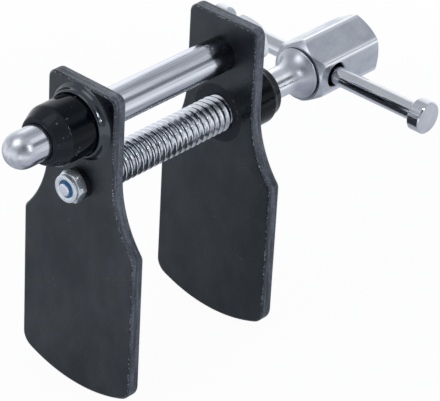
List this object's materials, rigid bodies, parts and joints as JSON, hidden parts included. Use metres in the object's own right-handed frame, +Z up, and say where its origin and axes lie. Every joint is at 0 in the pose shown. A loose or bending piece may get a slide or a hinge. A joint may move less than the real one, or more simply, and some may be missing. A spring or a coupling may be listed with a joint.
{
  "type": "brake piston rewind tool",
  "caption": "Hand tool that spreads two flat plates apart on a guide rod with a lead screw, hex head and sliding tommy bar, to push brake pistons back.",
  "frame": {"origin": "middle of the fixed plate's pressing face, 60 mm below the lead screw's axis", "axes": "+X along the lead screw, from the plates towards the hex head; +Y across the plates; +Z up, from the plates' pads towards the guide rod"},
  "size_m": [0.2071, 0.1184, 0.14],
  "materials": {
    "plate_coating": "satin black coating with worn edges",
    "black_turned": "gloss black over turned steel",
    "weld_coating": "gloss black over a weld bead",
    "rod_steel": "bright ground steel",
    "screw_steel": "bright rolled and turned steel",
    "head_steel": "satin chrome",
    "zinc_nut": "zinc plated",
    "black_washer": "black washer",
    "nylon": "blue nylon",
    "bar_chrome": "mirror chrome"
  },
  "bodies": {
    "fixed_side": {"fixed_plate": "plate_coating", "threaded_boss": "black_turned", "boss_weld": "weld_coating", "guide_rod": "rod_steel", "rod_washer": "zinc_nut", "rod_nut": "zinc_nut"},
    "moving_side": {"moving_plate": "plate_coating", "guide_bush": "black_turned", "bush_weld": "weld_coating"},
    "screw": {"lead_screw": "screw_steel", "hex_head": "head_steel", "lock_nut": "zinc_nut", "nylon_ring": "nylon", "lock_washer": "black_washer"},
    "bar": {"tommy_bar": "bar_chrome", "bar_cap_left": "bar_chrome", "bar_cap_right": "bar_chrome"}
  },
  "joints": [
    {"name": "plate_slide", "type": "slide", "parent": "fixed_side", "child": "moving_side", "axis": [1, 0, 0], "range_m": [-0.012, 0.0731]},
    {"name": "screw_spin", "type": "hinge", "parent": "moving_side", "child": "screw", "pos_m": [0, 0, 0.06], "axis": [1, 0, 0], "range_deg": [-1350, 8280]},
    {"name": "bar_slide", "type": "slide", "parent": "screw", "child": "bar", "axis": [0, 1, 0], "range_m": [-0.0371, 0.0429]}
  ],
  "couplings": [
    {"joint": "plate_slide", "follows": "screw_spin", "m_per_rad": 0.00050532}
  ]
}
